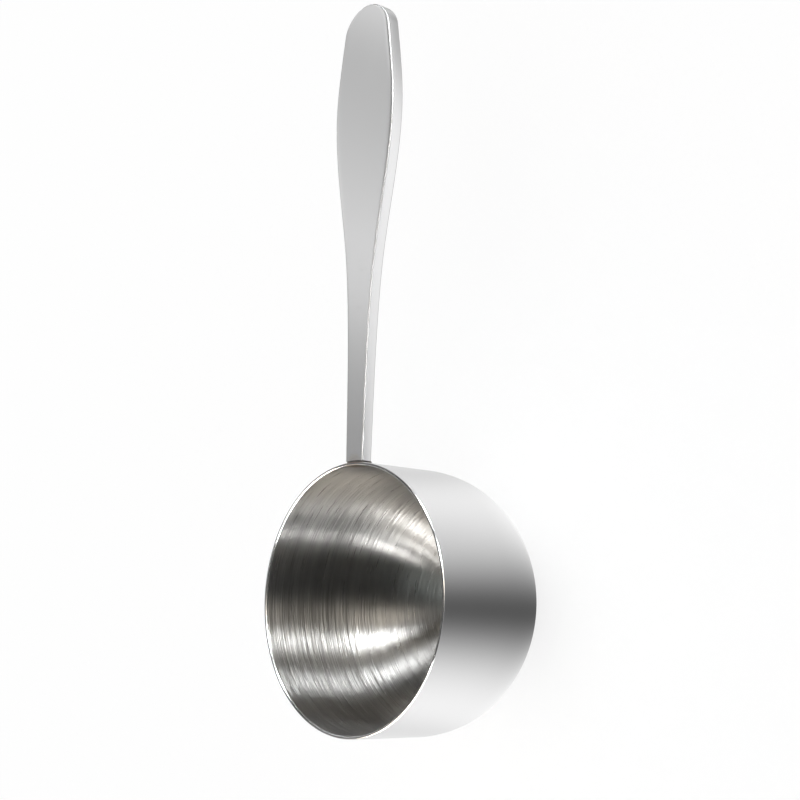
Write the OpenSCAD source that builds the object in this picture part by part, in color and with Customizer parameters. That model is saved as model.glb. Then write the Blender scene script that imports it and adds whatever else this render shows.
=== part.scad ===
// Measuring spoon: a drawn round cup with a flat bar handle welded to the outside of its wall.
// The origin is the centre of the flat base, +Z comes out of the mouth and +X runs along the handle.

/* [Cup] */
// Outer diameter of the cup
cup_d = 53; // [48:0.5:80]
// Height from the flat base to the top of the rim
cup_h = 37; // [28:0.5:60]
// Outer radius of the rounded bottom corner
corner_r = 20; // [4:0.5:21]
// Thickness of the drawn sheet
wall = 0.61; // [0.4:0.01:1.5]

/* [Handle outline] */
// Overall length, from the far side of the cup to the tip of the handle
length = 148; // [135:1:180]
// Width where the handle meets the cup
root_w = 4.9; // [3:0.1:9]
// Length of the slim neck, from the cup's wall
neck_l = 38.7; // [15:0.1:45]
// Width at the end of the neck
neck_w = 8.1; // [4:0.1:14]
// Greatest width of the grip
grip_w = 17.4; // [10:0.1:26]
// Distance from the widest place of the grip to the tip
grip_l = 22.9; // [12:0.1:30]
// Width that the sides of the grip lead to at the tip
tip_w = 11.9; // [6:0.1:20]
// Length of the rounded end
tip_l = 5.2; // [3:0.1:9]

/* [Handle side view] */
// Thickness at the cup
root_t = 2.4; // [1.4:0.1:4]
// Thickness at the tip
tip_t = 2.9; // [1.4:0.1:4]
// Radius that rounds the long edges
edge_r = 0.45; // [0.1:0.05:0.6]
// Height of the handle's top face below the rim, at the cup
rim_step = 0.5; // [0:0.1:3]
// Rise of the top face from the cup to the tip
tip_rise = 0; // [-4:0.1:6]
// Height of the middle of the top face over a straight line
bow = 0; // [-1:0.1:3]

/* [Weld] */
// Width of the joint that the weld metal fills, from the cup's wall to the handle's end
seam_w = 0.4; // [0.2:0.05:1]
// Depth of the weld metal below the handle's top face and sides
seam_sink = 0.15; // [0.05:0.05:0.3]
// How far the weld metal stands out under the handle
bead_h = 0.3; // [0.1:0.05:0.8]
// Radius of the weld metal's corners
bead_r = 0.4; // [0.1:0.05:0.4]

/* [Hidden] */
$fn = 180;
cup_r = cup_d / 2;
base_r = cup_r - corner_r;
lip_r = wall / 2;
handle_top = cup_h - rim_step;
tip_x = length - cup_r;
neck_x = cup_r + neck_l;
grip_x = tip_x - grip_l;
round_x = tip_x - tip_l;
// The handle's blank and the weld's block start this far inside the wall, and are cut back to it
cut_in = 2;
start_x = cup_r - cut_in;
// How steeply the width changes at the root, the neck's end and the tip, against a straight line
root_lead = 0.6;
neck_lead = 0.75;
tip_lead = 1;
root_slope = root_lead * (neck_w - root_w) / neck_l;
neck_slope = neck_lead * (grip_w - neck_w) / (grip_x - neck_x);
tip_slope = tip_lead * (tip_w - grip_w) / grip_l;
// Steps along the handle, round its end and over each edge
long_steps = 44;
end_steps = 14;
edge_steps = 4;
last = long_steps + end_steps;
ring = 2 * last + 1;

// Smooth curve from height h0 with slope s0 at x0 to height h1 with slope s1 at x1
function blend(x, x0, h0, s0, x1, h1, s1) =
    let (run = x1 - x0, u = (x - x0) / run)
    h0 * (1 + 2 * u) * (1 - u) * (1 - u) + s0 * run * u * (1 - u) * (1 - u)
    + h1 * u * u * (3 - 2 * u) - s1 * run * u * u * (1 - u);

// Width between the handle's side lines, before the end is rounded
function width(x) =
    x < cup_r ? root_w
    : x < neck_x ? blend(x, cup_r, root_w, root_slope, neck_x, neck_w, neck_slope)
    : x < grip_x ? blend(x, neck_x, neck_w, neck_slope, grip_x, grip_w, 0)
    : blend(x, grip_x, grip_w, 0, tip_x, tip_w, tip_slope);

// Share of the handle's length at x, and the heights of its top and bottom faces there
function share(x) = (x - cup_r) / (tip_x - cup_r);
function top_z(x) = handle_top + tip_rise * share(x) + 4 * bow * share(x) * (1 - share(x));
function bottom_z(x) = top_z(x) - root_t - (tip_t - root_t) * share(x);

// One side of the outline as [x, half width], and the whole outline round the tip and back
function turn(i) = max(0, 90 * (i - long_steps) / end_steps);
function along(i) =
    i < long_steps ? start_x + (round_x - start_x) * i / long_steps
    : round_x + tip_l * sin(turn(i));
function half(i) = width(along(i)) / 2 * cos(turn(i));
outline = [
    for (i = [0:last]) [along(i), -half(i)],
    for (i = [last - 1:-1:0]) [along(i), half(i)]
];

// Outward direction of the outline at each of its points
function outward(i) =
    let (step = outline[min(i + 1, ring - 1)] - outline[max(i - 1, 0)])
    [step.y, -step.x] / norm(step);

// The edge's quarter round at each level, as [inset from the outline, depth from the face]
function edge(level) =
    let (a = 90 * min(level, 2 * edge_steps + 1 - level) / edge_steps)
    [edge_r * (1 - sin(a)), edge_r * (1 - cos(a))];

// A point of the handle's skin, on one level of the edge at one place of the outline
function skin(level, i) =
    let (e = edge(level), p = outline[i] - e.x * outward(i))
    [p.x, p.y, level <= edge_steps ? bottom_z(p.x) + e.y : top_z(p.x) - e.y];

// Two triangles for each four-sided patch
function patch(a, b, c, d) = [[a, b, c], [a, c, d]];

// The handle before its root is cut to the cup
module handle_blank() {
    levels = 2 * edge_steps + 2;
    top = (levels - 1) * ring;
    points = [for (level = [0:levels - 1]) for (i = [0:ring - 1]) skin(level, i)];
    sides = [
        for (level = [0:levels - 2]) for (i = [0:ring - 1])
        let (a = level * ring + i, b = level * ring + (i + 1) % ring)
        each patch(a, a + ring, b + ring, b)
    ];
    lower = [for (i = [0:last - 2]) each patch(i, i + 1, ring - 2 - i, ring - 1 - i)];
    upper = [for (i = [0:last - 2])
        each patch(top + i, top + ring - 1 - i, top + ring - 2 - i, top + i + 1)];
    ends = [[last - 1, last, last + 1], [top + last - 1, top + last + 1, top + last]];
    polyhedron(points, concat(sides, lower, upper, ends));
}

// Solid cylinder round the cup's wall, a gap larger and taller than all that meets the wall
module around_cup(gap = 0) {
    cylinder(r = cup_r + gap, h = 2 * cup_h);
}

// Cup's sheet in section: flat base, rounded corner, straight wall and round lip
module cup_section() {
    square([base_r, wall]);
    translate([base_r, corner_r]) intersection() {
        difference() {
            circle(corner_r);
            circle(corner_r - wall);
        }
        translate([0, -corner_r])
            square(corner_r);
    }
    translate([cup_r - wall, corner_r])
        square([wall, cup_h - lip_r - corner_r]);
    translate([cup_r - lip_r, cup_h - lip_r])
        circle(lip_r);
}

// Polished outside and brushed inside, one piece of sheet
module cup() {
    color("gainsboro")
        rotate_extrude()
            cup_section();
}

// Polished bar, its root cut round to leave an even joint at the cup's wall
module handle() {
    color("silver")
        difference() {
            handle_blank();
            around_cup(seam_w);
        }
}

// Rectangle of width w and height h with its corners rounded, standing on the X axis
module rounded_rectangle(w, h, r) {
    translate([r - w / 2, 0])
        square([w - 2 * r, h]);
    translate([-w / 2, r])
        square([w, h - 2 * r]);
    for (x = [r - w / 2, w / 2 - r], y = [r, h - r])
        translate([x, y])
            circle(r);
}

// Weld metal that fills the joint, sunk a little at the top and sides and proud underneath
module weld_bead() {
    low = bottom_z(cup_r) - bead_h;
    high = handle_top - seam_sink;
    color("dimgray")
        difference() {
            intersection() {
                translate([start_x, 0, low])
                    rotate([90, 0, 90])
                        linear_extrude(cut_in + 2 * seam_w)
                            rounded_rectangle(root_w - 2 * seam_sink, high - low, bead_r);
                around_cup(seam_w);
            }
            around_cup();
        }
}

cup();
handle();
weld_bead();
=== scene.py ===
# A round steel measuring scoop that stands on a pale floor, seen from above its open cup.
# The cup is drawn from one sheet of steel, and a flat bar handle is welded to the outside of its wall.
import math

import bmesh
import bpy
from mathutils import Matrix, Vector


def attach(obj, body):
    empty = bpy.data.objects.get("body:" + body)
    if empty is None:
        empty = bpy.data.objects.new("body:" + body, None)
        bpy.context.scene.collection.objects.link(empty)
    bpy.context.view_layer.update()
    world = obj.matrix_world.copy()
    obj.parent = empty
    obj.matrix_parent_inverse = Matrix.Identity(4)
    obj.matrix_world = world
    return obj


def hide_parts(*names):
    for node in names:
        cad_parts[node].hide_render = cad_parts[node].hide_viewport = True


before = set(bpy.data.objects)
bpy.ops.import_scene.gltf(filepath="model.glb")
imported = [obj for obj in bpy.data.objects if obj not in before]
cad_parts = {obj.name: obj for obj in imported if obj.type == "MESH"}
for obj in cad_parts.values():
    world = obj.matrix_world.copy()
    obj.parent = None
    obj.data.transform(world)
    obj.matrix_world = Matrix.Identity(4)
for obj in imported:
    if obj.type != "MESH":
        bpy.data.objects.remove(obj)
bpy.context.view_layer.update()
MM = 0.001

# CUP
# One sheet of stainless steel, drawn on a press into a round cup with a large bottom corner. The outside is
# polished, the inside is brushed in circles while the cup turns, and the cut rim is rounded over.

CUP_RADIUS = 26.5 * MM
CUP_HEIGHT = 37 * MM
CORNER_RADIUS = 20 * MM
SHEET = 0.61 * MM
LIP_RADIUS = SHEET / 2
# The dark line along the top of the rim, matt and darker with painted shade, in degrees round the lip from
# its outer side
CUT_FIRST = 58
CUT_LAST = 112
BASE_STEPS = 8
CORNER_STEPS = 44
WALL_STEPS = 20
LIP_STEPS = 7
STEPS_ROUND = 288
# The section is swept round a circle so small that it is the cup's axis, and its points there become one
AXIS_RADIUS = 0.0001 * MM
SAME_POINT = 0.002 * MM
# Zones along the section. A face takes the next zone's finish when the mean of its corners is this far past
# the border.
OUTSIDE, CUT, LIP, INSIDE = 0.0, 1.0, 2.0, 3.0
PAST_BORDER = 0.25


def feed(tree, node, inputs):
    """Gives each of a node's inputs, by name or number, a value or the output that feeds it."""
    for socket, value in inputs.items():
        if isinstance(value, bpy.types.NodeSocket):
            tree.links.new(value, node.inputs[socket])
        else:
            node.inputs[socket].default_value = value


def add(tree, kind, inputs=None, **settings):
    """Adds a node with its settings and its inputs."""
    made = tree.nodes.new(kind)
    for name, value in settings.items():
        setattr(made, name, value)
    feed(tree, made, inputs or {})
    return made


def sockets(tree, direction, names):
    """Gives a node group its named inputs or outputs; names maps each to its socket type."""
    for name, kind in names.items():
        tree.interface.new_socket(name, in_out=direction, socket_type="NodeSocket" + kind)


def arc(centre_r, centre_z, radius, first, last, steps):
    """Points of an arc in a section, from one angle to another in degrees, without its first point."""
    points = []
    for i in range(1, steps + 1):
        angle = math.radians(first + (last - first) * i / steps)
        points.append((centre_r + radius * math.cos(angle), centre_z + radius * math.sin(angle)))
    return points


def line(start, end, steps):
    """Points of a straight line in a section, without its first point."""
    points = []
    for i in range(1, steps + 1):
        r = start[0] + (end[0] - start[0]) * i / steps
        z = start[1] + (end[1] - start[1]) * i / steps
        points.append((r, z))
    return points


# The section from the base's centre up the outside, over the lip and down the inside, as (radius, height)
flat_radius = CUP_RADIUS - CORNER_RADIUS
inner_radius = CUP_RADIUS - SHEET
lip_r = CUP_RADIUS - LIP_RADIUS
lip_z = CUP_HEIGHT - LIP_RADIUS
outside = [(0, 0)] + line((0, 0), (flat_radius, 0), BASE_STEPS)
outside += arc(flat_radius, CORNER_RADIUS, CORNER_RADIUS, -90, 0, CORNER_STEPS)
outside += line((CUP_RADIUS, CORNER_RADIUS), (CUP_RADIUS, lip_z), WALL_STEPS)
outside += arc(lip_r, lip_z, LIP_RADIUS, 0, CUT_FIRST, LIP_STEPS)
cut = arc(lip_r, lip_z, LIP_RADIUS, CUT_FIRST, CUT_LAST, LIP_STEPS)
lip = arc(lip_r, lip_z, LIP_RADIUS, CUT_LAST, 180, LIP_STEPS)
inside = line((inner_radius, lip_z), (inner_radius, CORNER_RADIUS), WALL_STEPS)
inside += arc(flat_radius, CORNER_RADIUS, CORNER_RADIUS - SHEET, 0, -90, CORNER_STEPS)
inside += line((flat_radius, SHEET), (0, SHEET), BASE_STEPS)
section = outside + cut + lip + inside
zones = [OUTSIDE] * len(outside) + [CUT] * len(cut) + [LIP] * len(lip) + [INSIDE] * len(inside)
walked = [0.0]
for before, after in zip(section, section[1:]):
    walked.append(walked[-1] + math.dist(before, after))

# The section is drawn flat, with its height downwards, because the circle that it follows turns it over
section_mesh = bpy.data.meshes.new("cup_section")
section_mesh.from_pydata([(r, -z, 0) for r, z in section],
                         [(i, i + 1) for i in range(len(section) - 1)], [])
section_mesh.attributes.new("zone", "FLOAT", "POINT").data.foreach_set("value", zones)
section_mesh.attributes.new("along", "FLOAT", "POINT").data.foreach_set("value", walked)

turned = bpy.data.node_groups.new("turned_shell", "GeometryNodeTree")
sockets(turned, "INPUT", {"Section": "Geometry", "Steps round": "Int", "Centre radius": "Float",
                          "Polished": "Material", "Cut": "Material", "Rounded": "Material",
                          "Brushed": "Material"})
sockets(turned, "OUTPUT", {"Shell": "Geometry"})
given = add(turned, "NodeGroupInput")
drawn = add(turned, "GeometryNodeMeshToCurve", {0: given.outputs["Section"]})
circle = add(turned, "GeometryNodeCurvePrimitiveCircle", {
    "Resolution": given.outputs["Steps round"], "Radius": given.outputs["Centre radius"]})
swept = add(turned, "GeometryNodeCurveToMesh", {
    "Curve": circle.outputs[0], "Profile Curve": drawn.outputs[0]})
closed = add(turned, "GeometryNodeMergeByDistance", {0: swept.outputs[0], "Distance": SAME_POINT})
smooth = add(turned, "GeometryNodeSetShadeSmooth", {0: closed.outputs[0]})
real = add(turned, "GeometryNodeRealizeInstances", {0: smooth.outputs[0]})
shell = add(turned, "GeometryNodeSetMaterial", {0: real.outputs[0], "Material": given.outputs["Polished"]})
zone = add(turned, "GeometryNodeInputNamedAttribute", {"Name": "zone"}, data_type="FLOAT")
for border, finish in ((OUTSIDE, "Cut"), (CUT, "Rounded"), (LIP, "Brushed")):
    past = add(turned, "FunctionNodeCompare", {0: zone.outputs[0], 1: border + PAST_BORDER},
               operation="GREATER_THAN")
    shell = add(turned, "GeometryNodeSetMaterial", {
        0: shell.outputs[0], "Selection": past.outputs[0], "Material": given.outputs[finish]})
add(turned, "NodeGroupOutput", {0: shell.outputs[0]})


def empty_tree(owner):
    """Turns on the nodes of a material or a world, and gives back its tree without any."""
    owner.use_nodes = True
    owner.node_tree.nodes.clear()
    return owner.node_tree


def new_material(name):
    """A steel material, its node tree, and the shader that the tree ends in."""
    made = bpy.data.materials.new(name)
    tree = empty_tree(made)
    shader = add(tree, "ShaderNodeBsdfPrincipled", {"Metallic": 1.0})
    add(tree, "ShaderNodeOutputMaterial", {0: shader.outputs[0]})
    return made, tree, shader


def maths(tree, operation, first, second=0.0, clamp=False):
    """A Math node's output."""
    return add(tree, "ShaderNodeMath", {0: first, 1: second}, operation=operation,
               use_clamp=clamp).outputs[0]


def vectors(tree, operation, first, second=(0, 0, 0)):
    """A Vector Math node's output, which is a number for a length, a distance or a dot product."""
    made = add(tree, "ShaderNodeVectorMath", {0: first, 1: second}, operation=operation)
    return made.outputs["Value" if operation in ("LENGTH", "DISTANCE", "DOT_PRODUCT") else "Vector"]


def scaled_vector(tree, vector, scale):
    """A vector times a number."""
    return add(tree, "ShaderNodeVectorMath", {0: vector, "Scale": scale}, operation="SCALE").outputs[0]


def joined_vector(tree, x=0.0, y=0.0, z=0.0):
    """A vector made of three numbers."""
    return add(tree, "ShaderNodeCombineXYZ", {0: x, 1: y, 2: z}).outputs[0]


def ranged(tree, value, low, high, to_low=0.0, to_high=1.0, kind="LINEAR"):
    """A value brought from the range low to high to the range to_low to to_high, and held at its ends."""
    return add(tree, "ShaderNodeMapRange", {"Value": value, "From Min": low, "From Max": high,
                                            "To Min": to_low, "To Max": to_high},
               interpolation_type=kind).outputs[0]


def noise(tree, place, scale=1.0, detail=2.0, roughness=0.5):
    """A Noise Texture's value. With place in metres, scale counts its lumps to the metre."""
    return add(tree, "ShaderNodeTexNoise", {"Vector": place, "Scale": scale, "Detail": detail,
                                            "Roughness": roughness}).outputs[0]


def bump(tree, height, distance, strength):
    """The normal of a surface with this height."""
    return add(tree, "ShaderNodeBump", {"Strength": strength, "Distance": distance,
                                        "Height": height}).outputs[0]


def colour_ramp(tree, value, stops):
    """A colour that changes evenly between stops, each a place from 0 to 1 and its colour."""
    ramp = add(tree, "ShaderNodeValToRGB", {0: value})
    elements = ramp.color_ramp.elements
    while len(elements) < len(stops):
        elements.new(0.5)
    for element, (at, colour) in zip(elements, stops):
        element.position = at
        element.color = (*colour, 1)
    return ramp.outputs[0]


def mixed_colours(tree, share, first, second, kind="MIX"):
    """The first colour, with a share of the second mixed in."""
    return add(tree, "ShaderNodeMix", {0: share, 6: first, 7: second}, data_type="RGBA",
               blend_type=kind).outputs[2]


def object_place(tree):
    """The surface's own place on the object."""
    return add(tree, "ShaderNodeTexCoord").outputs["Object"]


# Lines that a turning cup takes from the brush or the polishing wheel: long round it, short along its
# section. The bands are the same lines seen at a coarser scale.
BAND_SCALE = 0.13
turned_lines = bpy.data.node_groups.new("turned_lines", "ShaderNodeTree")
sockets(turned_lines, "INPUT", {"Along": "Float", "Lines per metre": "Float", "Run": "Float",
                                "Detail": "Float"})
sockets(turned_lines, "OUTPUT", {"Lines": "Float", "Bands": "Float"})
given = add(turned_lines, "NodeGroupInput")
flat = vectors(turned_lines, "MULTIPLY", object_place(turned_lines), (1, 1, 0))
run = scaled_vector(turned_lines, vectors(turned_lines, "NORMALIZE", flat), given.outputs["Run"])
row = maths(turned_lines, "MULTIPLY", given.outputs["Along"], given.outputs["Lines per metre"])
spot = vectors(turned_lines, "ADD", run, joined_vector(turned_lines, z=row))
fine = noise(turned_lines, spot, detail=given.outputs["Detail"], roughness=0.65)
broad = noise(turned_lines, scaled_vector(turned_lines, spot, BAND_SCALE), detail=2.0)
add(turned_lines, "NodeGroupOutput", {"Lines": fine, "Bands": broad})


def lines_round(tree, per_metre, run, detail):
    """Places turned_lines in one of the cup's materials, with its rows counted along the section."""
    along = add(tree, "ShaderNodeAttribute", attribute_name="along")
    return add(tree, "ShaderNodeGroup", {"Along": along.outputs["Fac"], "Lines per metre": per_metre,
                                         "Run": run, "Detail": detail}, node_tree=turned_lines)


# Marks of use: soft smudges, and hairline scratches in three layers that lie in different directions
SCRATCH_TURNS = ((0.3, 0.1, 0.6), (1.1, 0.4, 2.0), (0.7, 1.3, 2.7))
SCRATCH_STRETCH = (1.0, 0.035, 0.5)
SCRATCH_WIDTH = 0.006
# The smudge values between which the scratches come in
SCRATCHED_FROM = 0.45
SCRATCHED_TO = 0.65
use_marks = bpy.data.node_groups.new("use_marks", "ShaderNodeTree")
sockets(use_marks, "INPUT", {"Smudge size": "Float", "Scratch size": "Float", "Scratch amount": "Float"})
sockets(use_marks, "OUTPUT", {"Smudge": "Float", "Scratch": "Float"})
given = add(use_marks, "NodeGroupInput")
smudge_place = vectors(use_marks, "DIVIDE", object_place(use_marks), given.outputs["Smudge size"])
smudge = noise(use_marks, smudge_place, detail=3.0, roughness=0.55)
scratch_place = vectors(use_marks, "DIVIDE", object_place(use_marks), given.outputs["Scratch size"])
scratch = 0.0
for turn in SCRATCH_TURNS:
    lay = add(use_marks, "ShaderNodeMapping", {"Vector": scratch_place, "Rotation": turn,
                                               "Scale": SCRATCH_STRETCH})
    hair = noise(use_marks, lay.outputs[0], detail=1.0)
    off = maths(use_marks, "ABSOLUTE", maths(use_marks, "SUBTRACT", hair, 0.5))
    thin = maths(use_marks, "SUBTRACT", 1.0, maths(use_marks, "DIVIDE", off, SCRATCH_WIDTH), clamp=True)
    scratch = maths(use_marks, "MAXIMUM", scratch, thin)
faded = maths(use_marks, "MULTIPLY", scratch, given.outputs["Scratch amount"])
where = ranged(use_marks, smudge, SCRATCHED_FROM, SCRATCHED_TO)
add(use_marks, "NodeGroupOutput", {"Smudge": smudge, "Scratch": maths(use_marks, "MULTIPLY", faded, where)})

# Colours that the weld's heat leaves on steel near it, outwards: brown, straw, then a trace of blue
WELD_CENTRE = (26.4 * MM, 0, 35.6 * MM)
HEAT_COLOURS = ((0.0, (0.30, 0.20, 0.15)), (0.3, (0.50, 0.33, 0.25)), (0.55, (0.80, 0.68, 0.52)),
                (0.8, (0.93, 0.92, 0.94)), (1.0, (1, 1, 1)))
heat_tint = bpy.data.node_groups.new("heat_tint", "ShaderNodeTree")
sockets(heat_tint, "INPUT", {"Steel": "Color", "Centre": "Vector", "Reach": "Float", "Strength": "Float"})
sockets(heat_tint, "OUTPUT", {"Colour": "Color"})
given = add(heat_tint, "NodeGroupInput")
place = object_place(heat_tint)
gap = vectors(heat_tint, "DISTANCE", place, given.outputs["Centre"])
wander = ranged(heat_tint, noise(heat_tint, place, scale=1400.0), 0.0, 1.0, to_low=0.75, to_high=1.25)
near = maths(heat_tint, "DIVIDE", maths(heat_tint, "MULTIPLY", gap, wander), given.outputs["Reach"])
heat = colour_ramp(heat_tint, near, HEAT_COLOURS)
tint = mixed_colours(heat_tint, given.outputs["Strength"], given.outputs["Steel"], heat, "MULTIPLY")
add(heat_tint, "NodeGroupOutput", {0: tint})


def tinted(tree, steel, reach, strength):
    """Steel's colour with the weld's heat tint on it."""
    return add(tree, "ShaderNodeGroup", {"Steel": steel, "Centre": WELD_CENTRE, "Reach": reach,
                                         "Strength": strength}, node_tree=heat_tint).outputs[0]


# How much rougher a scratch is than the polish round it, and its depth against that of the polish's lines
SCRATCH_DULLNESS = 0.12
SCRATCH_DEPTH = 0.6
POLISH_RELIEF = 0.002 * MM


def polish(tree, shader, lines, marks, bright, dull):
    """Gives a polish its roughness, bright to dull with the smudges, its faint lines and its scratches."""
    rough = ranged(tree, marks.outputs["Smudge"], 0.3, 0.7, to_low=bright, to_high=dull)
    scratch_dull = maths(tree, "MULTIPLY", marks.outputs["Scratch"], SCRATCH_DULLNESS)
    scratch_deep = maths(tree, "MULTIPLY", marks.outputs["Scratch"], SCRATCH_DEPTH)
    height = maths(tree, "SUBTRACT", lines, scratch_deep)
    feed(tree, shader, {"Roughness": maths(tree, "ADD", rough, scratch_dull),
                        "Normal": bump(tree, height, distance=POLISH_RELIEF, strength=0.35)})


# Polished outside: nearly a mirror, with the wheel's faint lines round it and a few marks of use
polished, tree, shader = new_material("polished_cup_steel")
wheel = lines_round(tree, per_metre=5200.0, run=6.0, detail=2.0)
marks = add(tree, "ShaderNodeGroup", {"Smudge size": 11 * MM, "Scratch size": 1.1 * MM,
                                      "Scratch amount": 0.5}, node_tree=use_marks)
feed(tree, shader, {"Base Color": tinted(tree, (0.885, 0.883, 0.885, 1), reach=4.6 * MM, strength=0.8)})
polish(tree, shader, wheel.outputs["Lines"], marks, bright=0.13, dull=0.18)

# Rounded rim: polished with the outside, but it carries the wheel's lines more plainly
rounded, tree, shader = new_material("rounded_rim_steel")
wheel = lines_round(tree, per_metre=9000.0, run=14.0, detail=2.0).outputs["Lines"]
feed(tree, shader, {"Base Color": tinted(tree, (0.86, 0.86, 0.865, 1), reach=3.6 * MM, strength=0.6),
                    "Roughness": ranged(tree, wheel, 0.0, 1.0, to_low=0.12, to_high=0.26),
                    "Normal": bump(tree, wheel, distance=0.004 * MM, strength=0.3)})

# Cut edge: a fine line along the top of the rim that the wheel misses, so it stays matt. Its near-black
# colour is painted shade, which draws a dark line along the rim.
cut_line_painted_shade, tree, shader = new_material("cut_line_painted_shade_steel")
wheel = lines_round(tree, per_metre=16000.0, run=30.0, detail=2.0).outputs["Lines"]
# Painted shade: a near-black colour that draws a dark line along the top of the rim
feed(tree, shader, {"Base Color": colour_ramp(tree, wheel, ((0.3, (0.10, 0.10, 0.105)),
                                                            (0.75, (0.26, 0.26, 0.265)))),
                    "Roughness": 0.4})

# Brushed inside: the grooves run round the cup, so they throw light up and down its section, and those that
# aren't quite round lean it a little sideways. The brush pressed harder on the side away from the handle.
# Its colour is painted shade: far darker than the outside's, though both are the same sheet.
HAIR_SLOPE = 1.8
BRUSH_SLOPE = 0.8
SIDE_LEAN = 0.12
LIGHTEST_PRESS = 0.15
brushed, tree, shader = new_material("brushed_cup_steel_painted_shade")
hair = lines_round(tree, per_metre=16000.0, run=2.5, detail=1.0)
brush = lines_round(tree, per_metre=3600.0, run=2.5, detail=2.0)
wavy = lines_round(tree, per_metre=2600.0, run=3.0, detail=1.5)
# Painted shade: a colour far darker than the outside's steel darkens the whole inside of the cup
steel = colour_ramp(tree, brush.outputs["Bands"], ((0.35, (0.32, 0.316, 0.31)),
                                                   (0.65, (0.38, 0.375, 0.368))))
round_cup = add(tree, "ShaderNodeTangent", direction_type="RADIAL", axis="Z")
rough = ranged(tree, brush.outputs["Lines"], 0.3, 0.7, to_low=0.27, to_high=0.32)
feed(tree, shader, {"Base Color": tinted(tree, steel, reach=3.4 * MM, strength=0.9), "Roughness": rough,
                    "Anisotropic": 1.0, "Anisotropic Rotation": 0.25, "Tangent": round_cup.outputs[0]})
surface = add(tree, "ShaderNodeNewGeometry").outputs["Normal"]
parts = add(tree, "ShaderNodeSeparateXYZ", {0: object_place(tree)}).outputs
to_side = joined_vector(tree, maths(tree, "MULTIPLY", parts["Y"], -1.0), parts["X"])
side = vectors(tree, "NORMALIZE", to_side)
section_way = vectors(tree, "CROSS_PRODUCT", side, surface)
press = ranged(tree, parts["X"], -CUP_RADIUS, CUP_RADIUS / 2, to_low=1.0, to_high=LIGHTEST_PRESS)
hair_tilt = maths(tree, "MULTIPLY", maths(tree, "SUBTRACT", hair.outputs["Lines"], 0.5), HAIR_SLOPE)
brush_tilt = maths(tree, "MULTIPLY", maths(tree, "SUBTRACT", brush.outputs["Lines"], 0.5),
                   maths(tree, "MULTIPLY", press, BRUSH_SLOPE))
lean = maths(tree, "MULTIPLY", maths(tree, "SUBTRACT", wavy.outputs["Lines"], 0.5),
             maths(tree, "MULTIPLY", press, SIDE_LEAN))
tilted = scaled_vector(tree, section_way, maths(tree, "ADD", hair_tilt, brush_tilt))
grooves = vectors(tree, "ADD", tilted, scaled_vector(tree, side, lean))
feed(tree, shader, {"Normal": vectors(tree, "NORMALIZE", vectors(tree, "ADD", surface, grooves))})


def plain_mesh(name, source, group, values):
    """The mesh that a geometry tree makes of source with these values, as a new object."""
    maker = bpy.data.objects.new(name + "_maker", source)
    bpy.context.scene.collection.objects.link(maker)
    modifier = maker.modifiers.new(group.name, "NODES")
    modifier.node_group = group
    for item in group.interface.items_tree:
        if item.item_type == "SOCKET" and item.in_out == "INPUT" and item.name in values:
            modifier[item.identifier] = values[item.name]
    graph = bpy.context.evaluated_depsgraph_get()
    mesh = bpy.data.meshes.new_from_object(maker.evaluated_get(graph), depsgraph=graph)
    bpy.data.objects.remove(maker)
    mesh.name = name
    made = bpy.data.objects.new(name, mesh)
    bpy.context.scene.collection.objects.link(made)
    return made


def face_outwards(mesh, *others):
    """Turns every face of a closed mesh outwards, once other closed meshes have joined it."""
    work = bmesh.new()
    work.from_mesh(mesh)
    for other in others:
        work.from_mesh(other)
    bmesh.ops.recalc_face_normals(work, faces=work.faces)
    work.to_mesh(mesh)
    work.free()


cup = plain_mesh("cup_shell", section_mesh, turned, {
    "Steps round": STEPS_ROUND, "Centre radius": AXIS_RADIUS,
    "Polished": polished, "Cut": cut_line_painted_shade, "Rounded": rounded, "Brushed": brushed})
face_outwards(cup.data)
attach(cup, "root")
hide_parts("cup")

# HANDLE
# A flat bar of stainless steel, stamped to a slim neck and a wide rounded grip, polished all over after its
# edges were broken. Its root is cut round to sit close to the cup's wall.

LENGTH = 148 * MM
ROOT_WIDTH = 4.9 * MM
NECK_LENGTH = 38.7 * MM
NECK_WIDTH = 8.1 * MM
GRIP_WIDTH = 17.4 * MM
GRIP_LENGTH = 22.9 * MM
TIP_WIDTH = 11.9 * MM
TIP_LENGTH = 5.2 * MM
ROOT_THICKNESS = 2.4 * MM
TIP_THICKNESS = 2.9 * MM
EDGE_RADIUS = 0.25 * MM
RIM_STEP = 0.5 * MM
SEAM_WIDTH = 0.4 * MM
# How steeply the width changes at the root and at the neck's end, against a straight line
ROOT_LEAD = 0.6
NECK_LEAD = 0.75
LONG_STEPS = 150
END_STEPS = 36
EDGE_STEPS = 6
ACROSS = 12

tip_x = LENGTH - CUP_RADIUS
neck_x = CUP_RADIUS + NECK_LENGTH
grip_x = tip_x - GRIP_LENGTH
round_x = tip_x - TIP_LENGTH
start_x = CUP_RADIUS + SEAM_WIDTH
top_z = CUP_HEIGHT - RIM_STEP
root_slope = ROOT_LEAD * (NECK_WIDTH - ROOT_WIDTH) / NECK_LENGTH
neck_slope = NECK_LEAD * (GRIP_WIDTH - NECK_WIDTH) / (grip_x - neck_x)
tip_slope = (TIP_WIDTH - GRIP_WIDTH) / GRIP_LENGTH


def blend(x, x0, h0, s0, x1, h1, s1):
    """Smooth curve from height h0 with slope s0 at x0 to height h1 with slope s1 at x1."""
    run = x1 - x0
    u = (x - x0) / run
    return (h0 * (1 + 2 * u) * (1 - u) ** 2 + s0 * run * u * (1 - u) ** 2
            + h1 * u * u * (3 - 2 * u) - s1 * run * u * u * (1 - u))


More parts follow.
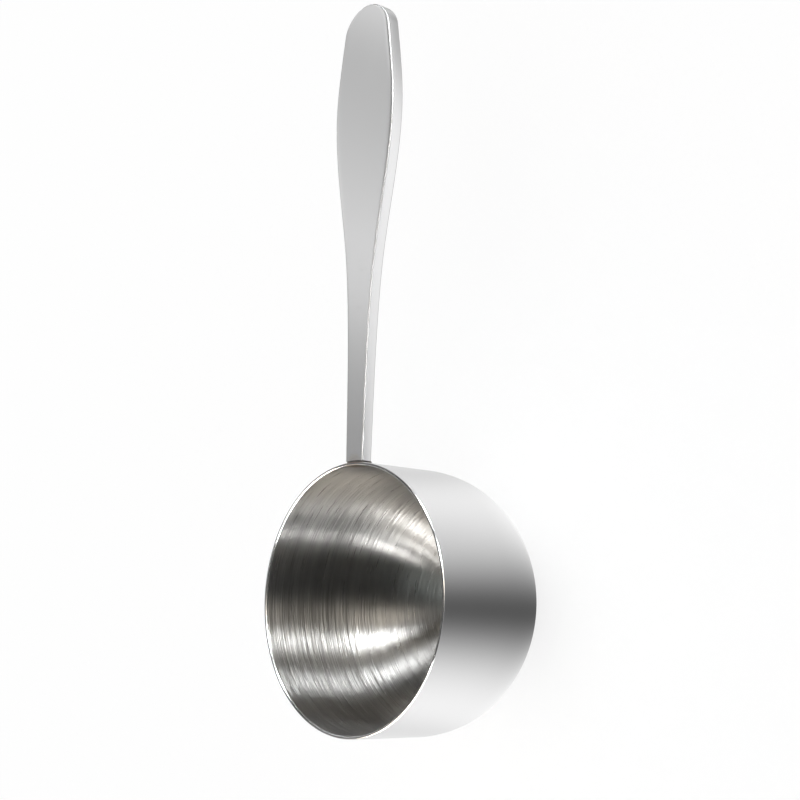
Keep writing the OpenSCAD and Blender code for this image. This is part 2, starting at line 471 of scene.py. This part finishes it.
def bar_width(x):
    """Width between the handle's side lines, before its end is rounded."""
    if x < neck_x:
        return blend(x, CUP_RADIUS, ROOT_WIDTH, root_slope, neck_x, NECK_WIDTH, neck_slope)
    if x < grip_x:
        return blend(x, neck_x, NECK_WIDTH, neck_slope, grip_x, GRIP_WIDTH, 0)
    return blend(x, grip_x, GRIP_WIDTH, 0, tip_x, TIP_WIDTH, tip_slope)


def thickness(x):
    """Thickness of the bar at x."""
    return ROOT_THICKNESS + (TIP_THICKNESS - ROOT_THICKNESS) * (x - CUP_RADIUS) / (tip_x - CUP_RADIUS)


def root_end(radius, y):
    """How far along the handle a circle round the cup's axis lies, at y."""
    return math.sqrt(radius ** 2 - y ** 2)


# Half of the outline from the root to the tip, each point with its outward direction
half_outline = []
for i in range(LONG_STEPS + END_STEPS + 1):
    turn = max(0, math.pi / 2 * (i - LONG_STEPS) / END_STEPS)
    x = round_x + TIP_LENGTH * math.sin(turn)
    if i < LONG_STEPS:
        x = start_x + (round_x - start_x) * i / LONG_STEPS
    half_outline.append(Vector((x, bar_width(x) / 2 * math.cos(turn), 0)))
outward = []
for i in range(len(half_outline) - 1):
    step = half_outline[i + 1] - half_outline[max(i - 1, 0)]
    outward.append(Vector((-step.y, step.x, 0)).normalized())
outward.append(Vector((1, 0, 0)))
last = len(half_outline) - 1
top_level = 2 * EDGE_STEPS + 1


def skin(i, level, side):
    """A point of the bar's skin, from level 0, the bottom face's border, to top_level, the top face's."""
    quarter = math.pi / 2 * min(level, top_level - level) / EDGE_STEPS
    inset = EDGE_RADIUS * (1 - math.sin(quarter))
    depth = EDGE_RADIUS * (1 - math.cos(quarter))
    at = half_outline[i] - outward[i] * inset
    y = max(at.y, 0) * side
    x = root_end(start_x, y) if i == 0 else at.x
    z = top_z - thickness(at.x) + depth if level <= EDGE_STEPS else top_z - depth
    return Vector((x, y, z))


# Each place along the bar is one closed ring: the bottom face, one side, the top face, the other side
points = []
for i in range(last):
    for face_level, first, second in ((0, 1, -1), (top_level, -1, 1)):
        start = skin(i, face_level, first)
        end = skin(i, face_level, second)
        for k in range(ACROSS + 1):
            point = start.lerp(end, k / ACROSS)
            if i == 0:
                point.x = root_end(start_x, point.y)
            points.append(point)
        levels = range(1, top_level)
        points += [skin(i, level, second) for level in (levels if face_level == 0 else reversed(levels))]
half_round = ACROSS + top_level
around = 2 * half_round
faces = []
for i in range(last - 1):
    for k in range(around):
        after = (k + 1) % around
        faces.append((i * around + k, i * around + after, (i + 1) * around + after, (i + 1) * around + k))
faces.append(tuple(range(around)))
# The tip's own column of points closes the last ring
column = len(points)
points += [skin(last, level, 1) for level in range(top_level + 1)]
end_ring = (last - 1) * around
for k in range(around):
    after = (k + 1) % around
    climbed = k % half_round - ACROSS
    on_edge = (column + climbed + 1, column + climbed)
    if k >= half_round:
        on_edge = (column + top_level - climbed - 1, column + top_level - climbed)
    if climbed < 0:
        on_edge = (column if k < half_round else column + top_level,)
    faces.append((end_ring + k, end_ring + after) + on_edge)
bar_mesh = bpy.data.meshes.new("handle_bar")
bar_mesh.from_pydata(points, [], faces)
bar_mesh.validate()
handle = bpy.data.objects.new("handle_bar", bar_mesh)
bpy.context.scene.collection.objects.link(handle)
face_outwards(bar_mesh)
# The rounded edges are satin, and their darker colour is painted shade. The root's end is the one face with
# many corners, and it comes just before the tip's faces.
for i, face in enumerate(bar_mesh.polygons):
    is_root = len(face.vertices) > 4
    face.use_smooth = not is_root
    past_flat = (i if i < end_ring else i - 1) % around % half_round - ACROSS
    if not is_root and past_flat >= 0 and past_flat != EDGE_STEPS:
        face.material_index = 1
for edge in bar_mesh.edges:
    edge.use_edge_sharp = max(edge.vertices) < around

# Polished bar: the belt ran along it, so its faint lines do too
BELT_LINES = (90.0, 4200.0, 4200.0)
bar_steel, tree, shader = new_material("polished_bar_steel")
belt_place = add(tree, "ShaderNodeMapping", {"Vector": object_place(tree), "Scale": BELT_LINES})
belt = noise(tree, belt_place.outputs[0], detail=3.0, roughness=0.6)
marks = add(tree, "ShaderNodeGroup", {"Smudge size": 14 * MM, "Scratch size": 1.2 * MM,
                                      "Scratch amount": 0.6}, node_tree=use_marks)
feed(tree, shader, {"Base Color": tinted(tree, (0.885, 0.885, 0.888, 1), reach=3.0 * MM, strength=0.25)})
polish(tree, shader, belt, marks, bright=0.1, dull=0.13)
bar_mesh.materials.append(bar_steel)

# Tumbled edges: the same steel, rounded in a drum of stones, so it is satin instead of bright. Its colour,
# about half as light as the polished bar's, is painted shade that dims the highlight along the edges.
edge_painted_shade_steel, tree, shader = new_material("tumbled_edge_painted_shade_steel")
pits = noise(tree, object_place(tree), scale=3500.0)
# Painted shade: the edges' steel is given a colour about half as light as the polished bar's
feed(tree, shader, {"Base Color": (0.47, 0.47, 0.475, 1),
                    "Roughness": ranged(tree, pits, 0.0, 1.0, to_low=0.48, to_high=0.6),
                    "Normal": bump(tree, pits, distance=0.004 * MM, strength=0.2)})
bar_mesh.materials.append(edge_painted_shade_steel)
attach(handle, "root")
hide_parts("handle")

# WELD
# Filler metal that joins the handle's root to the cup's wall all round. It froze in small overlapping
# ripples and was left dark, because the wheel doesn't reach into the corner.

SEAM_SINK = 0.15 * MM
BEAD_HEIGHT = 0.3 * MM
CORE_CORNER = 0.4 * MM
CORE_STEPS = 6
# How far the core reaches into the cup's wall, so that no gap shows
CORE_BITE = 0.05 * MM
RIPPLE_SPACING = 0.6 * MM
RIPPLE_RADIUS = 0.16 * MM
RIPPLE_FLATNESS = 0.8
SMALLEST_RIPPLE = 0.88
LARGEST_RIPPLE = 1.12
RIPPLE_SEED = 5

weld_low = top_z - ROOT_THICKNESS - BEAD_HEIGHT
weld_high = top_z - SEAM_SINK
weld_half = ROOT_WIDTH / 2 - SEAM_SINK
core_outline = []
for centre_y, centre_z, first in ((weld_half - CORE_CORNER, weld_low + CORE_CORNER, -90),
                                  (weld_half - CORE_CORNER, weld_high - CORE_CORNER, 0),
                                  (CORE_CORNER - weld_half, weld_high - CORE_CORNER, 90),
                                  (CORE_CORNER - weld_half, weld_low + CORE_CORNER, 180)):
    start = math.radians(first)
    start_y = centre_y + CORE_CORNER * math.cos(start)
    start_z = centre_z + CORE_CORNER * math.sin(start)
    core_outline.append((start_y, start_z))
    core_outline += arc(centre_y, centre_z, CORE_CORNER, first, first + 90, CORE_STEPS)
core_points = []
for radius in (CUP_RADIUS - CORE_BITE, start_x):
    core_points += [(root_end(radius, y), y, z) for y, z in core_outline]
count = len(core_outline)
core_faces = [(k, (k + 1) % count, count + (k + 1) % count, count + k) for k in range(count)]
core_faces += [tuple(range(count)), tuple(range(count, 2 * count))]
core_mesh = bpy.data.meshes.new("weld_core")
core_mesh.from_pydata(core_points, [], core_faces)

# The bead's middle line runs round the core, halfway between the wall and the handle's end
bead_mesh = bpy.data.meshes.new("weld_line")
bead_mesh.from_pydata([(root_end(CUP_RADIUS + SEAM_WIDTH / 2, y), y, z) for y, z in core_outline],
                      [(k, (k + 1) % count) for k in range(count)], [])

rippled = bpy.data.node_groups.new("rippled_bead", "GeometryNodeTree")
sockets(rippled, "INPUT", {"Line": "Geometry", "Ripple spacing": "Float", "Ripple radius": "Float",
                           "Flatness": "Float", "Seed": "Int", "Metal": "Material"})
sockets(rippled, "OUTPUT", {"Bead": "Geometry"})
given = add(rippled, "NodeGroupInput")
path = add(rippled, "GeometryNodeMeshToCurve", {0: given.outputs["Line"]})
spaced = add(rippled, "GeometryNodeResampleCurve", {
    0: path.outputs[0], "Length": given.outputs["Ripple spacing"]}, mode="LENGTH")
drop = add(rippled, "GeometryNodeMeshUVSphere", {
    "Segments": 14, "Rings": 8, "Radius": given.outputs["Ripple radius"]})
ahead = add(rippled, "GeometryNodeInputTangent")
turned_drop = add(rippled, "FunctionNodeAlignRotationToVector", {"Vector": ahead.outputs[0]}, axis="Z")
# Inputs 2 and 3 and output 1 are the numbers of a Random Value node
size = add(rippled, "FunctionNodeRandomValue", {
    2: SMALLEST_RIPPLE, 3: LARGEST_RIPPLE, "Seed": given.outputs["Seed"]}, data_type="FLOAT").outputs[1]
placed = add(rippled, "GeometryNodeInstanceOnPoints", {
    "Points": spaced.outputs[0], "Instance": drop.outputs[0], "Rotation": turned_drop.outputs[0],
    "Scale": joined_vector(rippled, size, size, given.outputs["Flatness"])})
real = add(rippled, "GeometryNodeRealizeInstances", {0: placed.outputs[0]})
smooth = add(rippled, "GeometryNodeSetShadeSmooth", {0: real.outputs[0]})
metal = add(rippled, "GeometryNodeSetMaterial", {0: smooth.outputs[0], "Material": given.outputs["Metal"]})
add(rippled, "NodeGroupOutput", {0: metal.outputs[0]})

# Weld metal: frozen ripples of a dark grey, with lighter patches that lean to straw
scaled, tree, shader = new_material("scaled_weld_metal")
patches = noise(tree, object_place(tree), scale=1600.0, detail=3.0)
grit = noise(tree, object_place(tree), scale=9000.0)
feed(tree, shader, {"Base Color": colour_ramp(tree, patches, ((0.35, (0.07, 0.068, 0.07)),
                                                              (0.7, (0.2, 0.19, 0.175)))),
                    "Roughness": ranged(tree, patches, 0.0, 1.0, to_low=0.3, to_high=0.6),
                    "Normal": bump(tree, grit, distance=0.01 * MM, strength=0.5)})

# Scale between the ripples: a thin black oxide that no brush reaches
oxide, tree, shader = new_material("black_weld_scale")
feed(tree, shader, {"Base Color": (0.02, 0.018, 0.02, 1), "Roughness": 0.7})
for face in core_mesh.polygons:
    face.material_index = 1
weld = plain_mesh("weld_seam", bead_mesh, rippled, {
    "Ripple spacing": RIPPLE_SPACING, "Ripple radius": RIPPLE_RADIUS, "Flatness": RIPPLE_FLATNESS,
    "Seed": RIPPLE_SEED, "Metal": scaled})
weld.data.materials.append(oxide)
face_outwards(weld.data, core_mesh)
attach(weld, "root")
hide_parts("weld_bead")

# STUDIO
# A pale floor under a white sky. Graded grey paper on the floor and soft boxes overhead show only in the
# steel, and the camera looks down on the open cup.

FLOOR_SIDE = 6.0
# How much of the floor's look is plain white rather than lit paper, for the camera and in reflections
WHITE_SHARE = 0.8
PAPER_RADIUS = 0.6
PAPER_LIFT = 0.05 * MM
PAPER_CORNERS = 96


def stage_piece(name, points, material):
    """A flat stage piece with one face and a material."""
    mesh = bpy.data.meshes.new(name)
    mesh.from_pydata(points, [], [tuple(range(len(points)))])
    mesh.materials.append(material)
    made = bpy.data.objects.new(name, mesh)
    bpy.context.scene.collection.objects.link(made)
    return made


def bell(tree, distance):
    """1 where the distance is 0, falling smoothly to about a third at 1 and to almost nothing at 2."""
    squared = maths(tree, "MULTIPLY", distance, distance)
    return maths(tree, "EXPONENT", maths(tree, "MULTIPLY", squared, -1.0))


floor_paper = bpy.data.materials.new("floor_paper")
tree = empty_tree(floor_paper)
rays = add(tree, "ShaderNodeLightPath")
seen = maths(tree, "MAXIMUM", rays.outputs["Is Camera Ray"], rays.outputs["Is Glossy Ray"])
lit = add(tree, "ShaderNodeBsdfDiffuse", {"Color": (0.96, 0.96, 0.96, 1)})
white = add(tree, "ShaderNodeEmission", {"Color": (1, 1, 1, 1), "Strength": 1.0})
mixed = add(tree, "ShaderNodeMixShader", {0: maths(tree, "MULTIPLY", seen, WHITE_SHARE), 1: lit.outputs[0],
                                          2: white.outputs[0]})
add(tree, "ShaderNodeOutputMaterial", {0: mixed.outputs[0]})
half = FLOOR_SIDE / 2
stage_piece("floor", [(-half, -half, 0), (half, -half, 0), (half, half, 0), (-half, half, 0)], floor_paper)

# Each grey of the paper: its direction from the cup in degrees, its depth, and how narrow it is
GREYS = ((-95, 0.95, 5.0), (87, 0.98, 4.5), (14, 0.27, 10.0), (163, 0.2, 14.0))
PAPER_TONE = 1.06
DARKEST_TONE = 0.03
# Grey cards along the handle's side and beyond its tip: each one's middle, its reach and its depth
SIDE_CARDS = (((45 * MM, -43 * MM, 0), 26 * MM, 0.16), ((150 * MM, -25 * MM, 0), 36 * MM, 0.48),
              ((138 * MM, 48 * MM, 0), 24 * MM, 0.9))
graded = bpy.data.materials.new("graded_paper")
tree = empty_tree(graded)
flat = vectors(tree, "MULTIPLY", object_place(tree), (1, 1, 0))
out_way = vectors(tree, "NORMALIZE", flat)
tone = PAPER_TONE
for direction, depth, narrow in GREYS:
    centre = (math.cos(math.radians(direction)), math.sin(math.radians(direction)), 0)
    facing = vectors(tree, "DOT_PRODUCT", out_way, centre)
    off = maths(tree, "MULTIPLY", maths(tree, "SUBTRACT", facing, 1.0), narrow)
    tone = maths(tree, "SUBTRACT", tone, maths(tree, "MULTIPLY", maths(tree, "EXPONENT", off), depth))
for middle, reach, depth in SIDE_CARDS:
    spread = maths(tree, "DIVIDE", vectors(tree, "DISTANCE", flat, middle), reach)
    tone = maths(tree, "SUBTRACT", tone, maths(tree, "MULTIPLY", bell(tree, spread), depth))
tone = maths(tree, "MAXIMUM", tone, DARKEST_TONE)
grey = add(tree, "ShaderNodeEmission", {"Color": (1, 1, 1, 1), "Strength": tone})
clear = add(tree, "ShaderNodeBsdfTransparent")
fade = ranged(tree, vectors(tree, "LENGTH", flat), PAPER_RADIUS / 2, PAPER_RADIUS, kind="SMOOTHSTEP")
mixed = add(tree, "ShaderNodeMixShader", {0: fade, 1: grey.outputs[0], 2: clear.outputs[0]})
add(tree, "ShaderNodeOutputMaterial", {0: mixed.outputs[0]})
corners = []
for k in range(PAPER_CORNERS):
    turn = math.tau * k / PAPER_CORNERS
    corners.append((PAPER_RADIUS * math.cos(turn), PAPER_RADIUS * math.sin(turn), PAPER_LIFT))
paper = stage_piece("graded_paper", corners, graded)
paper.visible_camera = False
paper.visible_diffuse = False
paper.visible_shadow = False
paper.visible_transmission = False

# The sky in the steel. MIRRORED is where the handle's flat top sends the camera's view, seen from above.
# Each soft box stands round it: its turn and half width in degrees, its nearest and farthest distance, its
# light and its colour.
MIRRORED = (0.1607, 0.7252)
WARM = (1.0, 0.91, 0.78)
PALE = (1.0, 0.985, 0.96)
COOL = (0.97, 0.99, 1.0)
GREENISH = (0.93, 1.0, 0.97)
SOFT_BOXES = (
    (28, 18, 0.3, 0.85, 2.5, WARM),
    (15, 12, 0.85, 1.1, 22.0, WARM),
    (17, 17, 1.1, 1.4, 22.0, WARM),
    (20, 17, 1.4, 1.8, 1.0, WARM),
    (61, 12, 0.15, 0.8, 1.7, GREENISH),
    (35, 4.5, 0.85, 1.1, 11.0, PALE),
    (37.5, 3, 1.1, 1.35, 13.0, PALE),
    (43, 2.6, 1.35, 1.8, 11.0, PALE),
    (46.5, 2.2, 1.1, 1.35, 10.0, PALE),
    (54.5, 2.0, 1.35, 1.8, 32.0, PALE),
    (87, 8, 0.55, 0.95, 0.7, PALE),
    (93.5, 6, 1.35, 1.8, 4.2, WARM),
    (104, 3.7, 1.35, 1.8, 54.0, COOL),
    (122, 5, 0.85, 1.1, 10.0, COOL),
    (123.5, 4.2, 1.1, 1.35, 29.0, COOL),
    (128, 4.5, 1.15, 1.8, 55.0, COOL),
    (163, 9, 0.3, 0.8, 0.45, PALE),
)
BOX_SOFTNESS = 0.03
CEILING_TONE = 0.01
# The back card's tone at compass turns in degrees, from +X. It stands between these turns and heights, and
# beyond this Y. Each of them has its low end, its high end and how softly it fades.
CARD_TONES = ((40, 0.9), (58.4, 0.8), (60, 0.6), (60.8, 0.52), (62, 0.515), (64, 0.545), (67.5, 0.65),
              (70.5, 0.75), (73, 0.68), (75.5, 0.48), (79, 0.355), (84, 0.305), (110, 0.45), (140, 0.7))
CARD_TURNS = (42, 135, 5)
CARD_HEIGHTS = (0.2, 0.8, 0.05)
CARD_BEYOND = (0.62, 2.0, 0.04)
# The walls' tone at compass turns in degrees, from +X, and the heights that they fill
WALL_TONES = ((-180, 0.5), (-140, 0.45), (-115, 0.22), (-88, 0.35), (-62, 0.52), (-30, 0.5), (-8, 0.3),
              (45, 0.25), (75, 0.5), (180, 0.5))
WALL_HEIGHTS = (-2.0, 0.34, 0.05)


def graded_tone(tree, value, stops):
    """A tone that changes evenly between stops, each a value and its tone."""
    low, high = stops[0][0], stops[-1][0]
    tones = [((at - low) / (high - low), (tone, tone, tone)) for at, tone in stops]
    return colour_ramp(tree, ranged(tree, value, low, high), tones)


def between(tree, value, low, high, soft):
    """1 between low and high, falling smoothly to 0 over soft on both sides."""
    rise = ranged(tree, value, low - soft, low + soft, kind="SMOOTHSTEP")
    fall = ranged(tree, value, high - soft, high + soft, kind="SMOOTHSTEP")
    return maths(tree, "SUBTRACT", rise, fall, clamp=True)


def turn_of(tree, y, x):
    """The turn of the direction x, y in degrees."""
    return maths(tree, "MULTIPLY", maths(tree, "ARCTAN2", y, x), 180 / math.pi)


world = bpy.data.worlds.new("studio_sky")
bpy.context.scene.world = world
tree = empty_tree(world)
view_way = add(tree, "ShaderNodeTexCoord").outputs["Generated"]
parts = add(tree, "ShaderNodeSeparateXYZ", {0: view_way}).outputs
off_x = maths(tree, "SUBTRACT", MIRRORED[0], parts["X"])
off_y = maths(tree, "SUBTRACT", MIRRORED[1], parts["Y"])
turn = turn_of(tree, off_y, off_x)
off = vectors(tree, "LENGTH", joined_vector(tree, off_x, off_y))
light = joined_vector(tree, CEILING_TONE, CEILING_TONE, CEILING_TONE)
for box_turn, half_width, nearest, farthest, strength, colour in SOFT_BOXES:
    aside = maths(tree, "DIVIDE", maths(tree, "SUBTRACT", turn, box_turn), half_width)
    shape = maths(tree, "MULTIPLY", bell(tree, aside), between(tree, off, nearest, farthest, BOX_SOFTNESS))
    glow = scaled_vector(tree, tuple(strength * share for share in colour), shape)
    light = vectors(tree, "ADD", light, glow)
compass = turn_of(tree, parts["Y"], parts["X"])
on_card = maths(tree, "MULTIPLY", between(tree, compass, *CARD_TURNS),
                between(tree, parts["Z"], *CARD_HEIGHTS))
on_card = maths(tree, "MULTIPLY", on_card, between(tree, parts["Y"], *CARD_BEYOND))
light = mixed_colours(tree, on_card, light, graded_tone(tree, compass, CARD_TONES))
light = mixed_colours(tree, between(tree, parts["Z"], *WALL_HEIGHTS), light,
                      graded_tone(tree, compass, WALL_TONES))
rays = add(tree, "ShaderNodeLightPath")
seen = mixed_colours(tree, rays.outputs["Is Glossy Ray"], (1, 1, 1, 1), light)
sky = add(tree, "ShaderNodeBackground", {"Color": seen, "Strength": 1.0})
add(tree, "ShaderNodeOutputWorld", {0: sky.outputs[0]})

# The camera that was fitted to the photographed outline, on a film 36 mm wide
camera_data = bpy.data.cameras.new("camera")
camera_data.sensor_width = 36
camera_data.lens = 65.394
camera_data.clip_start = 0.01
camera = bpy.data.objects.new("camera", camera_data)
bpy.context.scene.collection.objects.link(camera)
bpy.context.scene.camera = camera
camera_place = Vector((-7.0985, -214.8406, 220.9451)) * MM
right = Vector((0.023548, -0.674819, -0.731934))
up = Vector((0.98672, -0.102011, 0.125532))
backward = Vector((-0.160717, -0.725169, 0.663455))
turned_camera = Matrix((right, up, backward)).transposed().to_4x4()
camera.matrix_world = Matrix.Translation(camera_place) @ turned_camera

bpy.context.scene.view_settings.view_transform = "Standard"
